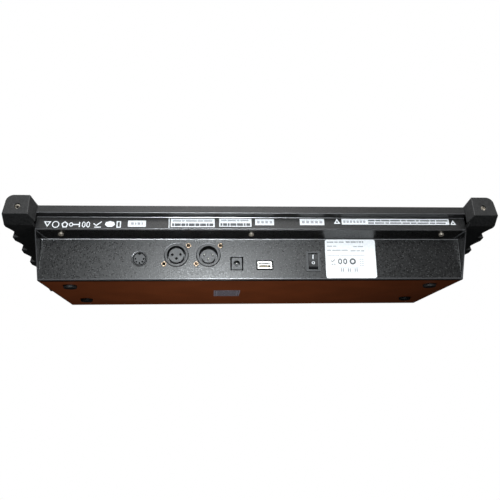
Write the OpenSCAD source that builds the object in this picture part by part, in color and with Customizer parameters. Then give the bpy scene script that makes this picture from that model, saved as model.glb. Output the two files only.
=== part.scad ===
// Lighting control desk: a wedge-shaped steel case with a sloping control panel, moulded end caps
// and a recessed socket panel at the back. Two working frames are used:
//   desk()   X to the operator's right, Y to the rear, Z up; Y = 0 is the outer face of the rear
//            panel and Z = 0 the underside of the base plate
//   sloped() X as before, Y up the slope of the control panel, Z square to it; its origin is the
//            top edge of the rear panel

/* [Case] */
// Width of the steel case between the end caps
body_w = 440; // [400:1:560]
// Depth of the base, from the front wall to the rear panel
base_d = 158; // [150:1:200]
// Height of the rear panel
rear_h = 44; // [43:0.5:60]
// Slope of the control panel, in degrees
slope = 10.3; // [8:0.1:11]
// Thickness of the steel sheet
sheet_t = 1.2; // [0.8:0.1:1.4]
// Outer radius of the bend at the rear panel's lower edge
bend_r = 1.8; // [1.5:0.1:2.5]
// Depth of the narrow flange behind the base plate, under the rear panel
rear_flange_d = 5; // [4:0.5:8]
// Radius of the fold between the rear panel and the overhang
fold_r = 1; // [0.5:0.1:1.5]
// Depth of the overhang's underside, behind the rear panel
overhang_d = 20.4; // [18:0.1:26]
// Height of the label strip above the overhang's underside
strip_h = 14.6; // [13:0.1:18]
// Depth of the ledge above the label strip
ledge_d = 8.7; // [6:0.1:12]
// Height of the control panel's rear edge
bar_h = 8.3; // [8:0.1:12]
// Height of the control panel's front lip
lip_h = 8; // [5:0.5:10]
// Height of the base plate's side flanges
base_flange_h = 10; // [6:1:14]

/* [End caps] */
// Reach of an end cap outside the case
cap_reach = 28.5; // [26:0.5:36]
// Height of an end cap above the control panel
cap_rise = 6.7; // [5:0.1:12]
// Width of the lip that overlaps the control panel
cap_lip = 3; // [2:0.1:5]
// Width of the sloping face on the inner side
cap_bevel = 6; // [4:0.5:9]
// Reach of an end cap behind the panel's rear edge
cap_back = 9; // [8:0.5:14]
// Reach of an end cap in front of the panel's front lip
cap_front = 1.6; // [1:0.1:5]
// Gap from the overhang's level up to the cap's lower edge
cap_low = 2.5; // [1:0.1:4]
// Inward lean of the outer flank, from bottom to top
cap_lean = 2.5; // [0:0.5:4]
// Radius of the outer top edge
cap_r = 8; // [3:0.5:9]
// Wall thickness of an end cap
cap_wall = 2.5; // [2:0.1:3]
// Distance from one grip tooth to the next
tooth_pitch = 32; // [28:1:40]
// Length of a grip tooth
tooth_l = 8; // [6:1:12]
// Depth of the hollow between two grip teeth
tooth_d = 5; // [2:0.5:5]

/* [Feet] */
// Diameter of a foot
foot_d = 14; // [10:0.5:20]
// Height of a foot
foot_h = 3; // [2:0.5:8]
// Distance from the case's side to a foot's centre
foot_side = 27; // [20:1:40]
// Distance from the rear panel to a rear foot's centre
foot_rear = 27; // [20:1:40]
// Distance from the front wall to a front foot's centre
foot_front = 45; // [20:1:60]

/* [Rear sockets] */
// Radius of a signal socket's shell
xlr_r = 12; // [11:0.1:12.5]
// Radius of the recess in a signal socket
xlr_bore_r = 9.6; // [9:0.1:10]
// Depth of a signal socket behind the rear panel
xlr_depth = 20; // [17:0.5:26]
// Width of a signal socket's flange
xlr_flange_w = 31; // [30:0.5:32]
// Height of a signal socket's flange
xlr_flange_h = 26; // [25:0.5:28]
// Place of the output socket across the desk
output_x = 81; // [80:1:90]
// Place of the input socket across the desk
input_x = 48; // [40:1:48]
// Height of the signal sockets' centres
xlr_z = 26.5; // [24:0.5:28]
// Distance between a flange's screws across the desk
xlr_screw_w = 25; // [24.5:0.1:26]
// Distance between a flange's screws in height
xlr_screw_h = 19.4; // [19:0.1:20]
// Place of the five-pin socket across the desk
midi_x = 118.5; // [117:0.5:130]
// Height of the five-pin socket's centre
midi_z = 22.5; // [21:0.5:24]
// Radius of the five-pin socket's face
midi_r = 7.4; // [7:0.1:8]
// Place of the power inlet across the desk
inlet_x = 18.7; // [16:0.1:22]
// Width of the power inlet's face
inlet_w = 10.6; // [9:0.1:12]
// Height of the power inlet's face
inlet_h = 12.3; // [11:0.1:14]
// Place of the lamp socket across the desk
lamp_x = -10.4; // [-14:0.1:-8]
// Height of the lamp socket's centre
lamp_z = 15.8; // [15:0.1:17]
// Place of the power switch across the desk
switch_x = -60.9; // [-64:0.1:-56]
// Height of the power switch's centre
switch_z = 19.4; // [18:0.1:22]
// Width of the power switch's bezel
bezel_w = 15; // [14.5:0.1:17]
// Height of the power switch's bezel
bezel_h = 21; // [20.5:0.1:24]

/* [Labels] */
// Width of the rating label
rating_w = 53.5; // [40:0.5:60]
// Height of the rating label
rating_h = 41.5; // [30:0.5:42]
// Place of the rating label's centre across the desk
rating_x = -101; // [-120:1:-98]
// Width of the label under the base
base_label_w = 29.7; // [20:0.1:40]
// Depth of the label under the base
base_label_d = 38; // [20:1:50]

/* [Controls] */
// Number of channel faders
channels = 8; // [8]
// Distance from one channel fader to the next
channel_pitch = 24; // [23:0.5:25]
// Travel of a fader
fader_travel = 60; // [45:1:60]
// Width of a fader's knob
knob_w = 11; // [8:0.5:13]
// Length of a fader's knob along its slot
knob_l = 20; // [14:0.5:22]
// Height of a fader's knob
knob_h = 11; // [8:0.5:13]
// Width of a button
key_w = 12; // [8:0.5:14]
// Length of a button up the slope
key_l = 8; // [6:0.5:12]
// Height of a button above the panel
key_h = 3.2; // [2.6:0.1:5]
// Travel of a button
key_travel = 1.2; // [0.5:0.1:1.4]
// Radius of a pan or tilt wheel
wheel_r = 17; // [14:0.5:17.5]
// Width of a pan or tilt wheel
wheel_w = 9; // [7:0.5:11]
// Height that a wheel stands above the panel
wheel_rise = 7; // [4:0.5:8]
// Width of the display window
window_w = 66; // [50:1:72]
// Length of the display window up the slope
window_l = 18; // [14:1:22]

/* [Boards] */
// Gap between the control panel's sheet and the control board
board_gap = 11.7; // [11.5:0.1:12.5]
// Thickness of a circuit board
board_t = 1.6; // [1:0.1:2]
// Height of the connector board's upper face
connector_z = 10; // [9.6:0.1:10.2]
// Radius of a standoff
standoff_r = 3; // [2.5:0.1:3.5]

/* [Fits] */
// Gap around what moves through an opening
move_gap = 0.4; // [0.3:0.05:0.6]
// Gap around a fixed piece in its opening
seat_gap = 0.2; // [0.1:0.05:0.3]
// Gap around the power inlet's face
inlet_gap = 1; // [0.3:0.1:1.2]
// Radial gap of a shaft in its bearing
shaft_gap = 0.05; // [0.02:0.01:0.1]
// Radius of a screw's thread
screw_r = 1.5; // [1.2:0.1:1.6]

/* [Hidden] */
$fn = 48;
side_x = body_w / 2;
wall_x = side_x - sheet_t;
top_n = strip_h + bar_h;
under_n = top_n - sheet_t;
bar_q = overhang_d + ledge_d;
plate_front_y = -base_d + sheet_t + seat_gap;
plate_rear_y = -rear_flange_d - seat_gap;
// The fold's curve starts this far from its corner.
fold_l = fold_r * tan((90 - slope) / 2);
lip_low = top_n - lip_h;
lip_gap = 0.3;
// The lip clears the upright front wall at the lip's lower edge.
lip_in_q = (-base_d - lip_gap + lip_low * sin(slope)) / cos(slope);
front_q = lip_in_q - sheet_t;

cap_rear_q = bar_q + cap_back;
cap_front_q = front_q - cap_front;
cap_top_n = top_n + cap_rise;
cap_x = side_x + cap_reach;
cap_nose_n = cap_low + 6;
cap_nose_q = cap_rear_q - 12.5;
cap_in_x = side_x - cap_lip;
cap_grip_wall = tooth_d + 1.2;
cap_floor_t = 4;
cap_rear_wall = 10.2;
boss_r = 4;
web_t = 2;
rib_count = 3;

// The origin is under the middle of the whole desk, at the level of the feet.
back_y = cap_rear_q * cos(slope) - cap_nose_n * sin(slope);
front_y = cap_front_q * cos(slope) - cap_top_n * sin(slope);
rear_y = -(back_y + front_y) / 2;

// Ears that hold the end caps
ear_w = 22;
ear_inset = 4;
ear_l = 13;
ear_low = top_n - 12;
ear_rear_q = bar_q - 1.9;
ear_front_q = front_q + 9;
cap_screw_x = side_x + 14;
cap_screw_n = top_n - 5.6;
head_r = 2.6;
head_h = 1.8;
head_sink = 1.5;
screw_bite = 4;
cross_w = 0.6;
cross_l = 3;
cross_d = 0.9;
panel_screw_l = 6;
socket_screw_l = 7;
board_screw_l = 5;
screw_bore_l = 6;

// Control board and what stands on it
board_n = under_n - board_gap;
board_w = body_w - 30;
board_front_q = front_q + 10;
board_rear_q = -4;
standoff_x = [-board_w / 2 + 6, 0, board_w / 2 - 6];
standoff_q = [board_front_q + 4.5, board_rear_q - 4];

// Faders: the slot's front end is at the rest position.
fader_rest_q = front_q + 31.4;
fader_x = [for (i = [0:channels - 1]) (i - 5) * channel_pitch];
timer_x = [84, 110];
slot_w = 2.2;
stem_w = 1.2;
stem_l = 4;
slot_end = stem_l / 2 + 1;
fader_body_w = 9;
fader_body_h = board_gap - 1;
fader_body_end = 8;
carriage_w = 5.4;
carriage_l = 9;
carriage_h = 5;
carriage_n = board_n + 2.2;
knob_n = top_n + 0.8;

// Buttons
scene_q = fader_rest_q + fader_travel + 31;
function_x = [-side_x + 32, -side_x + 62];
function_q = [scene_q, scene_q - 32, scene_q - 64];
function_names = ["program", "music", "auto", "bank_up", "bank_down", "blackout"];
function_at = [for (q = function_q) for (x = function_x) [x, q]];
button_at = concat([for (x = fader_x) [x, scene_q]], function_at);
switch_body = 6;
switch_h = 4;
key_stem_r = 1.8;
key_flange = 1;
key_flange_h = 1;
lamp_r = 1.5;
lamp_offset = 11;

// Wheels
wheel_x = [154, 188];
wheel_q = fader_rest_q + fader_travel / 2;
wheel_n = top_n + wheel_rise - wheel_r;
shaft_r = 2;
bracket_t = 3;
bracket_gap = 2;
bracket_l = 14;
shaft_l = wheel_w + 2 * (bracket_gap + bracket_t);
wheel_slot = sqrt(wheel_r * wheel_r - (wheel_r - wheel_rise - sheet_t) * (wheel_r - wheel_rise - sheet_t));

// Display
window_x = 128;
window_q = scene_q;
window_t = 2;
module_margin = 4;

// Rear panel
connector_low_z = connector_z - board_t;
connector_x = [lamp_x - 18, midi_x + 16];
connector_front_y = -44;
connector_rear_y = -2.2;
inlet_foot_h = 1.25;
inlet_z = connector_z + inlet_foot_h + inlet_h / 2;
inlet_bore_r = 3.2;
inlet_bore_l = 10;
inlet_out = 0.3;
inlet_pin_depth = 1.5;
inlet_pin_r = 1.05;
pin_r = 1.2;
pin_ring = 4.2;
pin_up = 0.8;
recess_d = 14;
plateau_r = 7.1;
plateau_depth = 4;
pin_tip_depth = 2.8;
contact_gap = 0.1;
press_gap = 0.02;
barrel_out = 0.8;
insert_r = 7.6;
midi_ring = 4.2;
midi_hole_r = 0.85;
midi_key_w = 2.4;
midi_body_w = 19;
socket_l = 13;
socket_hole_l = 9;
lamp_shell_w = 13.1;
lamp_shell_h = 5.8;
lamp_shell_t = 0.4;
lamp_shell_d = 14;
lamp_cut_w = 16.5;
lamp_cut_h = 9.5;
rocker_w = 9.6;
rocker_r = 8.2;
rocker_half_deg = 10;
rocker_y = -2;
rocker_face = 3.2;
rocker_pin_r = 1;
rocker_pin_l = 1.2;
bezel_t = 1.5;
switch_body_w = bezel_w - 2;
switch_body_h = bezel_h - 2;
switch_depth = 18;
label_t = 0.2;
label_r = 2.5;
panel_screw_x = [-196, 4, 196];
panel_screw_q = overhang_d * 0.58;

base_label_x = 27.4;
base_label_y = -base_d / 2 + 2;

ribbon_w = 30;
ribbon_x = 64;
ribbon_y = -38;
ribbon_t = 1;
header_h = 4;

// ---------- frames and shared shapes ----------

module desk() {
    translate([0, rear_y, foot_h]) children();
}

module sloped() {
    desk() translate([0, 0, rear_h]) rotate([slope, 0, 0]) children();
}

// A point of the sloped frame, as [y, z] of the desk frame
function at_slope(q, n) = [q * cos(slope) - n * sin(slope), rear_h + q * sin(slope) + n * cos(slope)];

// Height of a level of the sloped frame above a place along Y, in the desk frame
function level_z(y, n) = rear_h + y * tan(slope) + n / cos(slope);

// Extrudes an outline drawn in Y and Z across X, from x0 over a width
module across(x0, width) {
    translate([x0, 0, 0]) rotate([90, 0, 90]) linear_extrude(width) children();
}

// Extrudes an outline drawn in X and Z along Y, from y0 forwards over a length
module forwards(y0, length) {
    translate([0, y0, 0]) rotate([90, 0, 0]) linear_extrude(length) children();
}

// A block given by its middle in X and Y, its lower level and its size
module block(x, y, z, size) {
    translate([x - size[0] / 2, y - size[1] / 2, z]) cube(size);
}

// A round bar along Y from y0 forwards
module peg(x, y0, z, r, length) {
    translate([x, y0, z]) rotate([90, 0, 0]) cylinder(r = r, h = length);
}

// A flat outline with round corners
module rounded(w, h, r) {
    square([w - 2 * r, h], center = true);
    square([w, h - 2 * r], center = true);
    for (x = [-1, 1], y = [-1, 1]) translate([x * (w / 2 - r), y * (h / 2 - r)]) circle(r = r);
}

// ---------- case ----------

module base_plate() {
    color([0.33, 0.18, 0.10]) desk() {
        translate([-wall_x + seat_gap, plate_front_y, 0])
            cube([2 * (wall_x - seat_gap), plate_rear_y - plate_front_y, sheet_t]);
        for (side = [-1, 1])
            block(side * (wall_x - seat_gap - sheet_t / 2), (plate_front_y + plate_rear_y) / 2, sheet_t,
                  [sheet_t, plate_rear_y - plate_front_y - 2 * sheet_t, base_flange_h]);
    }
}

module side_outline() {
    step_y = -sheet_t;
    polygon([[-base_d, 0], [-bend_r, 0], [0, bend_r], at_slope(overhang_d, 0), at_slope(overhang_d, sheet_t),
             [step_y, level_z(step_y, sheet_t)], [step_y, level_z(step_y, under_n)],
             [-base_d, level_z(-base_d, under_n)]]);
    translate([-bend_r, bend_r]) circle(r = bend_r);
}

module rear_cutouts() {
    for (x = [output_x, input_x]) {
        translate([x, xlr_z]) circle(r = xlr_r + seat_gap);
        for (s = [-1, 1])
            translate([x + s * xlr_screw_w / 2, xlr_z - s * xlr_screw_h / 2])
                circle(r = screw_r + seat_gap, $fn = 24);
    }
    translate([midi_x, midi_z]) circle(r = midi_r + seat_gap);
    translate([inlet_x, inlet_z]) square([inlet_w + 2 * inlet_gap, inlet_h + 2 * inlet_gap], center = true);
    translate([lamp_x, lamp_z]) square([lamp_cut_w, lamp_cut_h], center = true);
    translate([switch_x, switch_z])
        square([switch_body_w + 2 * seat_gap, switch_body_h + 2 * seat_gap], center = true);
}

module rear_outline() {
    polygon([[-sheet_t, bend_r], [0, bend_r], [0, rear_h], at_slope(overhang_d, 0),
             at_slope(overhang_d, sheet_t), [-sheet_t, level_z(-sheet_t, sheet_t)]]);
    // Lower bend and the flange beyond it
    translate([-rear_flange_d, 0]) square([rear_flange_d - bend_r, sheet_t]);
    intersection() {
        translate([-bend_r, 0]) square(bend_r);
        translate([-bend_r, bend_r]) difference() {
            circle(r = bend_r);
            circle(r = bend_r - sheet_t);
        }
    }
    // Fold under the overhang
    difference() {
        polygon([[0, rear_h], [0, rear_h - fold_l], [fold_r, rear_h - fold_l], at_slope(fold_l, 0)]);
        translate([fold_r, rear_h - fold_l]) circle(r = fold_r);
    }
}

module chassis() {
    color([0.12, 0.13, 0.14]) difference() {
        desk() {
            for (x0 = [-side_x, wall_x]) across(x0, sheet_t) side_outline();
            across(-wall_x - 0.1, 2 * wall_x + 0.2) rear_outline();
            translate([-wall_x - 0.1, -base_d, 0])
                cube([2 * wall_x + 0.2, sheet_t, level_z(-base_d, under_n)]);
        }
        desk() forwards(1, sheet_t + 2) rear_cutouts();
        sloped() for (x = panel_screw_x) translate([x, panel_screw_q, -1])
            cylinder(r = screw_r + seat_gap, h = sheet_t + 2, $fn = 24);
    }
}

module panel_cutouts() {
    for (x = concat(fader_x, timer_x))
        translate([x - slot_w / 2, fader_rest_q - slot_end])
            square([slot_w, fader_travel + 2 * slot_end]);
    for (at = button_at) translate(at) {
        square([key_w + 2 * move_gap, key_l + 2 * move_gap], center = true);
        translate([0, lamp_offset]) circle(r = lamp_r + seat_gap, $fn = 24);
    }
    for (x = wheel_x) translate([x, wheel_q])
        square([wheel_w + 2 * move_gap, 2 * (wheel_slot + move_gap)], center = true);
    translate([window_x, window_q]) square([window_w, window_l], center = true);
}

// An ear outside the case, with a turned-down end that takes a cap's screw
module ear(end_q, towards) {
    difference() {
        union() {
            translate([side_x - sheet_t, end_q - (towards > 0 ? ear_l : 0), under_n])
                cube([ear_w + sheet_t, ear_l, sheet_t]);
            translate([side_x + ear_inset, end_q - (towards > 0 ? sheet_t : 0), ear_low])
                cube([ear_w - ear_inset, sheet_t, top_n - ear_low]);
        }
        peg(cap_screw_x, end_q + 5, cap_screw_n, screw_r + shaft_gap, 10);
    }
}

module top_panel() {
    color([0.13, 0.14, 0.15]) sloped() {
        difference() {
            translate([-side_x, front_q, under_n]) cube([body_w, bar_q - front_q, sheet_t]);
            translate([0, 0, under_n - 1]) linear_extrude(sheet_t + 2) panel_cutouts();
        }
        translate([-side_x, front_q, lip_low]) cube([body_w, sheet_t, lip_h]);
        translate([-side_x, bar_q - sheet_t, strip_h]) cube([body_w, sheet_t, bar_h]);
        translate([-side_x, overhang_d - sheet_t, strip_h])
            cube([body_w, ledge_d + sheet_t, sheet_t]);
        translate([-side_x, overhang_d - sheet_t, sheet_t])
            cube([body_w, sheet_t, strip_h]);
        difference() {
            translate([-side_x, 2 * sheet_t, sheet_t])
                cube([body_w, overhang_d - 2 * sheet_t, sheet_t]);
            for (x = panel_screw_x) translate([x, panel_screw_q, 0])
                cylinder(r = screw_r + shaft_gap, h = 3 * sheet_t, $fn = 24);
        }
        for (side = [0, 1]) mirror([side, 0, 0]) {
            ear(ear_rear_q, 1);
            ear(ear_front_q, -1);
        }
    }
}

// ---------- end caps ----------

module cap_outline(inner_x, low_n = cap_low) {
    polygon([[inner_x, low_n], [cap_x, low_n], [cap_x - cap_lean, cap_top_n - cap_r],
             [cap_x - cap_lean - cap_r, cap_top_n], [cap_in_x + cap_bevel, cap_top_n],
             [cap_in_x, top_n], [inner_x, top_n]]);
    translate([cap_x - cap_lean - cap_r, cap_top_n - cap_r]) circle(r = cap_r);
}

// The hollow between two grip teeth: it deepens forwards and ends at the next tooth's step.
module grip_hollow(tooth_q) {
    length = tooth_pitch - tooth_l;
    steps = 8;
    translate([cap_x, tooth_q - tooth_l, cap_low]) rotate([0, 45, 0])
        linear_extrude(4 * tooth_d, center = true)
            polygon(concat([[tooth_d, -length], [tooth_d, 0]],
                           [for (s = [0:steps]) [-tooth_d * sin(110 * s / steps), -length * s / steps]]));
}

module cap_hollow() {
    inner = side_x - 1;
    outer = cap_x - cap_grip_wall;
    roof = cap_top_n - cap_wall;
    floor_n = cap_low + cap_floor_t;
    main_rear_q = cap_rear_q - cap_rear_wall;
    forwards(main_rear_q, main_rear_q - cap_front_q - cap_wall)
        polygon([[inner, floor_n], [outer, floor_n], [outer, roof - cap_r / 2], [outer - cap_r / 2, roof],
                 [cap_in_x + cap_bevel + cap_wall, roof], [side_x, top_n + seat_gap],
                 [inner, top_n + seat_gap]]);
    rear_in_x = side_x + ear_inset;
    translate([rear_in_x, main_rear_q - 1, ear_low])
        cube([outer - rear_in_x, cap_rear_q - cap_wall - main_rear_q + 1, roof - cap_r / 2 - ear_low]);
}

// A screw boss and its stiffening web, between an end wall and the ear
module cap_boss(from_q, to_q) {
    peg(cap_screw_x, max(from_q, to_q), cap_screw_n, boss_r, abs(to_q - from_q));
    translate([cap_screw_x, min(from_q, to_q), cap_screw_n - web_t / 2])
        cube([cap_x - tooth_d - cap_screw_x, abs(to_q - from_q), web_t]);
}

module end_cap() {
    last_tooth = floor((cap_nose_q - cap_front_q - tooth_pitch) / tooth_pitch);
    rib_low = cap_low + cap_floor_t - 1;
    difference() {
        union() {
            difference() {
                union() {
                    forwards(cap_rear_q, cap_rear_q - cap_front_q) cap_outline(side_x + seat_gap);
                    forwards(cap_rear_q, cap_back - seat_gap) cap_outline(cap_in_x);
                    forwards(front_q - seat_gap, cap_front - seat_gap) cap_outline(cap_in_x, lip_low - seat_gap);
                }
                cap_hollow();
            }
            cap_boss(cap_rear_q - 1, ear_rear_q + seat_gap);
            cap_boss(cap_front_q + 1, ear_front_q - seat_gap);
            for (k = [1:rib_count])
                translate([side_x + 2, cap_front_q + k * (cap_rear_q - cap_front_q) / (rib_count + 1), rib_low])
                    cube([cap_reach - 2 - tooth_d, web_t, top_n - rib_low]);
        }
        // Bevel from the case's rear edge to the cap's rear face
        translate([0, 0, -1]) linear_extrude(cap_top_n + 2)
            polygon([[cap_in_x - 1, bar_q], [cap_in_x, bar_q],
                     [cap_in_x + cap_bevel, cap_rear_q], [cap_in_x + cap_bevel, cap_rear_q + 1],
                     [cap_in_x - 1, cap_rear_q + 1]]);
        // Rising underside at the rear
        across(cap_in_x - 1, cap_reach + cap_lip + 2)
            polygon([[cap_nose_q, cap_low], [cap_rear_q, cap_nose_n], [cap_rear_q + 1, cap_nose_n],
                     [cap_rear_q + 1, cap_low - 1], [cap_nose_q, cap_low - 1]]);
        for (k = [0:last_tooth]) grip_hollow(cap_nose_q + tooth_l - 4 - k * tooth_pitch);
        // Screw holes with sunk heads
        peg(cap_screw_x, cap_rear_q + 1, cap_screw_n, screw_r + seat_gap, 20);
        peg(cap_screw_x, cap_front_q + 19, cap_screw_n, screw_r + seat_gap, 20);
        peg(cap_screw_x, cap_rear_q + 1, cap_screw_n, head_r + seat_gap, 1 + head_sink + head_h);
        peg(cap_screw_x, cap_front_q + head_sink + head_h, cap_screw_n, head_r + seat_gap,
            1 + head_sink + head_h);
    }
}

module right_end_cap() {
    color([0.22, 0.235, 0.24]) sloped() end_cap();
}

module left_end_cap() {
    color([0.22, 0.235, 0.24]) sloped() mirror([1, 0, 0]) end_cap();
}

// ---------- feet and screws ----------

module feet() {
    color([0.05, 0.05, 0.05]) desk()
        for (x = [-1, 1], y = [-foot_rear, -base_d + foot_front])
            translate([x * (side_x - foot_side), y, -foot_h]) {
                cylinder(r = foot_d / 2 - 0.5, h = foot_h);
                translate([0, 0, 0.8]) cylinder(r = foot_d / 2, h = foot_h - 0.8);
            }
}

// A pan-head screw with a cross recess. Its head's underside is at the origin and it points along +Z.
module screw(length) {
    difference() {
        union() {
            translate([0, 0, -head_h]) cylinder(r = head_r, h = head_h, $fn = 32);
            cylinder(r = screw_r, h = length, $fn = 32);
        }
        for (turn = [0, 90]) rotate(turn)
            translate([-cross_l / 2, -cross_w / 2, -head_h - 0.1]) cube([cross_l, cross_w, cross_d + 0.1]);
    }
}

module panel_screws() {
    color([0.78, 0.72, 0.6]) sloped()
        for (x = panel_screw_x) translate([x, panel_screw_q, 0]) screw(panel_screw_l);
}

module end_cap_screws() {
    rear_length = cap_rear_q - head_sink - head_h - ear_rear_q + screw_bite;
    color([0.7, 0.68, 0.62]) sloped()
        for (x = [-cap_screw_x, cap_screw_x]) {
            translate([x, cap_rear_q - head_sink - head_h, cap_screw_n]) rotate([90, 0, 0]) screw(rear_length);
            translate([x, cap_front_q + head_sink + head_h, cap_screw_n]) rotate([-90, 0, 0])
                screw(ear_front_q - cap_front_q);
        }
}

// ---------- signal sockets ----------

module xlr_flange() {
    difference() {
        square([xlr_flange_w, xlr_flange_h], center = true);
        for (s = [-1, 1]) translate([s * xlr_screw_w / 2, -s * xlr_screw_h / 2])
            circle(r = screw_r + shaft_gap, $fn = 24);
    }
}

// Shell of a signal socket: a ring that shows through the rear panel, on a flange behind it
module xlr_shell() {
    difference() {
        union() {
            peg(0, barrel_out, 0, xlr_r, barrel_out + xlr_depth);
            forwards(-sheet_t - 0.05, 2.5) xlr_flange();
        }
        peg(0, 1, 0, xlr_bore_r, 1 + xlr_depth - 2);
    }
}

function pin_places() = [[-pin_ring, pin_up], [pin_ring, pin_up], [0, pin_up - pin_ring]];

module at_socket(x, z) {
    desk() translate([x, 0, z]) children();
}

module output_socket_shell() {
    color([0.2, 0.2, 0.21]) at_socket(output_x, xlr_z) xlr_shell();
}

module output_socket_insert() {
    color([0.07, 0.07, 0.07]) at_socket(output_x, xlr_z) difference() {
        union() {
            peg(0, -1, 0, insert_r, xlr_depth - 3.2);
            peg(0, -xlr_depth + 4, 0, xlr_bore_r - seat_gap, 1.8);
        }
        for (at = pin_places()) peg(at[0], 0, at[1], pin_r + contact_gap, socket_l);
    }
}

module input_socket_shell() {
    color([0.2, 0.2, 0.21]) at_socket(input_x, xlr_z) xlr_shell();
}

module input_socket_insert() {
    color([0.07, 0.07, 0.07]) at_socket(input_x, xlr_z) difference() {
        union() {
            peg(0, -recess_d, 0, xlr_bore_r - seat_gap, xlr_depth - 2 - seat_gap - recess_d);
            peg(0, -plateau_depth, 0, plateau_r, recess_d - plateau_depth + 1);
        }
        for (at = pin_places()) peg(at[0], 0, at[1], pin_r + press_gap, recess_d + 2.5);
    }
}

module input_socket_pins() {
    color([0.85, 0.85, 0.82]) at_socket(input_x, xlr_z)
        for (at = pin_places()) {
            peg(at[0], -pin_tip_depth, at[1], pin_r, recess_d - 0.5);
            translate([at[0], -pin_tip_depth, at[1]]) sphere(r = pin_r);
        }
}

module socket_screws() {
    color([0.78, 0.68, 0.45])
        for (x = [output_x, input_x], s = [-1, 1])
            at_socket(x + s * xlr_screw_w / 2, xlr_z - s * xlr_screw_h / 2)
                rotate([90, 0, 0]) screw(socket_screw_l);
}

// ---------- other rear parts ----------

module midi_socket() {
    color([0.1, 0.1, 0.1]) desk() difference() {
        union() {
            block(midi_x, -sheet_t - 0.1 - socket_l / 2, connector_z,
                  [midi_body_w, socket_l, midi_z + midi_r + 1.5 - connector_z]);
            peg(midi_x, -0.2, midi_z, midi_r, 2);
        }
        difference() {
            peg(midi_x, 1, midi_z, midi_r - 0.7, socket_hole_l);
            peg(midi_x, 1, midi_z, midi_r - 1.5, socket_hole_l);
        }
        for (k = [0:4])
            peg(midi_x + midi_ring * cos(180 + k * 45), 1, midi_z + midi_ring * sin(180 + k * 45),
                midi_hole_r, socket_hole_l);
        block(midi_x, -4, midi_z + midi_r - 3, [midi_key_w, socket_hole_l, midi_key_w]);
    }
}

module power_inlet() {
    color([0.08, 0.08, 0.08]) desk() difference() {
        union() {
            block(inlet_x, -sheet_t - 0.1 - socket_l / 2, connector_z,
                  [inlet_w, socket_l, inlet_h + inlet_foot_h]);
            block(inlet_x, inlet_out - 1, inlet_z - inlet_h / 2, [inlet_w, 2, inlet_h]);
        }
        peg(inlet_x, 1, inlet_z, inlet_bore_r, 1 + inlet_bore_l);
        peg(inlet_x, 0, inlet_z, inlet_pin_r + press_gap, inlet_bore_l + 3);
    }
}

module power_inlet_pin() {
    color([0.8, 0.8, 0.78]) desk() {
        peg(inlet_x, -inlet_pin_depth, inlet_z, inlet_pin_r, inlet_bore_l + 2.8 - inlet_pin_depth);
        translate([inlet_x, -inlet_pin_depth, inlet_z]) sphere(r = inlet_pin_r);
    }
}

module lamp_socket_shell() {
    color([0.8, 0.8, 0.8]) desk() {
        difference() {
            union() {
                block(lamp_x, -lamp_shell_d / 2, lamp_z - lamp_shell_h / 2,
                      [lamp_shell_w, lamp_shell_d, lamp_shell_h]);
                block(lamp_x, -0.3, lamp_z - lamp_shell_h / 2 - 0.7, [lamp_shell_w + 1.4, 0.6, lamp_shell_h + 1.4]);
            }
            block(lamp_x, -lamp_shell_d / 2 + lamp_shell_t + 0.5, lamp_z - lamp_shell_h / 2 + lamp_shell_t,
                  [lamp_shell_w - 2 * lamp_shell_t, lamp_shell_d + 1, lamp_shell_h - 2 * lamp_shell_t]);
        }
        for (side = [-1, 1])
            block(lamp_x + side * (lamp_shell_w - lamp_shell_t) / 2, -10, connector_z,
                  [lamp_shell_t, 4, lamp_z - lamp_shell_h / 2 - connector_z]);
    }
}

module lamp_socket_tongue() {
    inner_top = lamp_z + lamp_shell_h / 2 - lamp_shell_t;
    back_l = 2;
    back_y = -lamp_shell_d + 2 * lamp_shell_t + seat_gap;
    color([0.9, 0.9, 0.88]) desk() {
        block(lamp_x, back_y + back_l / 2, lamp_z - lamp_shell_h / 2 + lamp_shell_t + seat_gap,
              [lamp_shell_w - 2 * lamp_shell_t - 2 * seat_gap, back_l,
               lamp_shell_h - 2 * lamp_shell_t - 2 * seat_gap]);
        translate([lamp_x - 5.5, back_y, inner_top - 2.4]) cube([11, lamp_shell_d - 2.6, 1.8]);
    }
}

module switch_housing() {
    hole_w = rocker_w + 2 * 0.3;
    hole_h = 2 * (rocker_r + 0.4);
    color([0.06, 0.06, 0.06]) desk() difference() {
        union() {
            translate([switch_x, 0, switch_z]) forwards(bezel_t, bezel_t - 0.05) square([bezel_w, bezel_h], center = true);
            block(switch_x, -(switch_depth - 0.5) / 2 + 0.5, switch_z - switch_body_h / 2,
                  [switch_body_w, switch_depth + 0.5, switch_body_h]);
        }
        block(switch_x, rocker_y + 2 - 6.5, switch_z - hole_h / 2, [hole_w, 17, hole_h]);
        translate([switch_x - rocker_w / 2 - rocker_pin_l - 0.1, rocker_y, switch_z]) rotate([0, 90, 0])
            cylinder(r = rocker_pin_r + shaft_gap, h = rocker_w + 2 * rocker_pin_l + 0.2, $fn = 24);
    }
}

// The rocker rests with its upper half pressed in. It turns about its pins.
module power_rocker() {
    end = rocker_face + rocker_r * tan(rocker_half_deg);
    color([0.05, 0.05, 0.05]) desk() translate([switch_x, rocker_y, switch_z]) rotate([rocker_half_deg, 0, 0]) {
        across(-rocker_w / 2, rocker_w) intersection() {
            polygon([[-3, -rocker_r], [end, -rocker_r], [rocker_face, 0], [end, rocker_r], [-3, rocker_r]]);
            circle(r = rocker_r);
        }
        translate([-rocker_w / 2 - rocker_pin_l, 0, 0]) rotate([0, 90, 0])
            cylinder(r = rocker_pin_r, h = rocker_w + 2 * rocker_pin_l, $fn = 24);
    }
}

module rating_label() {
    color("white") desk() translate([rating_x, 0, rear_h - fold_l - 0.07 - rating_h / 2])
        forwards(label_t, label_t) rounded(rating_w, rating_h, label_r);
}

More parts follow.
